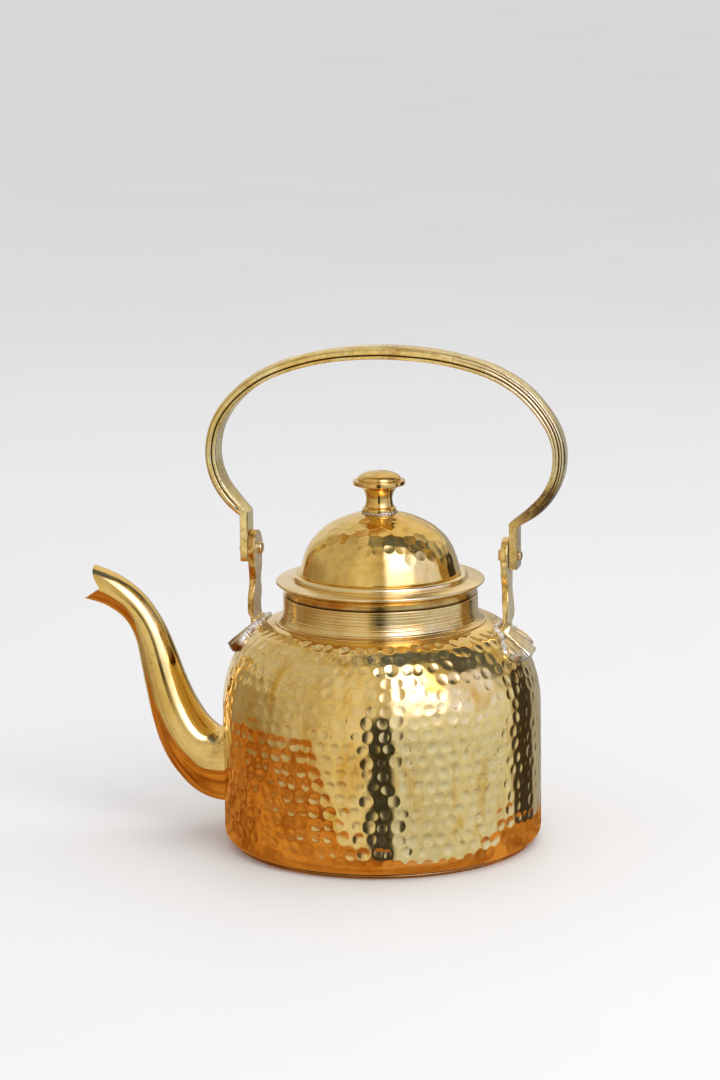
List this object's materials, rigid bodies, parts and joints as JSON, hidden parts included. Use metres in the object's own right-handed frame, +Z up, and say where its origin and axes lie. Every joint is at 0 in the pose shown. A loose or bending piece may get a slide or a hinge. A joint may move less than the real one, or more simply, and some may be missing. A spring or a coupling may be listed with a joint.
{
  "type": "hammered teapot",
  "caption": "Hammered brass teapot with a swan-neck spout, a domed lift-off lid with a turned knob, and a reeded bail handle that swings on riveted ears.",
  "frame": {"origin": "centre of the underside of the base, on the surface it stands on", "axes": "+Z up, spout towards -X, rear ear towards +X, bail handle in the XZ plane when upright, +Y across the pot"},
  "size_m": [0.2193, 0.141, 0.2213],
  "materials": {
    "hammered_brass": "hand-hammered and polished",
    "turned_brass": "lathe-turned, fine circular lines",
    "cast_brass": "cast and polished",
    "ear_brass": "cast, satin, with solder at the foot",
    "rivet_brass": "peened, slightly dull"
  },
  "bodies": {
    "pot": {"body_shell": "hammered_brass", "shoulder_shell": "hammered_brass", "base_disc": "turned_brass", "neck_collar": "turned_brass", "spout": "cast_brass", "front_ear": "ear_brass", "rear_ear": "ear_brass", "front_rivet": "rivet_brass", "rear_rivet": "rivet_brass"},
    "handle": {"handle_bail": "cast_brass"},
    "lid": {"lid_dome": "hammered_brass", "lid_flange": "turned_brass", "lid_collar": "turned_brass", "knob": "turned_brass", "knob_washer": "rivet_brass"}
  },
  "joints": [
    {"name": "handle_swing", "type": "hinge", "parent": "pot", "child": "handle", "pos_m": [0, 0, 0.13005], "axis": [1, 0, 0], "range_deg": [-120, 120]},
    {"name": "lid_lift", "type": "slide", "parent": "pot", "child": "lid", "axis": [0, 0, 1], "range_m": [0, 0.045]}
  ]
}
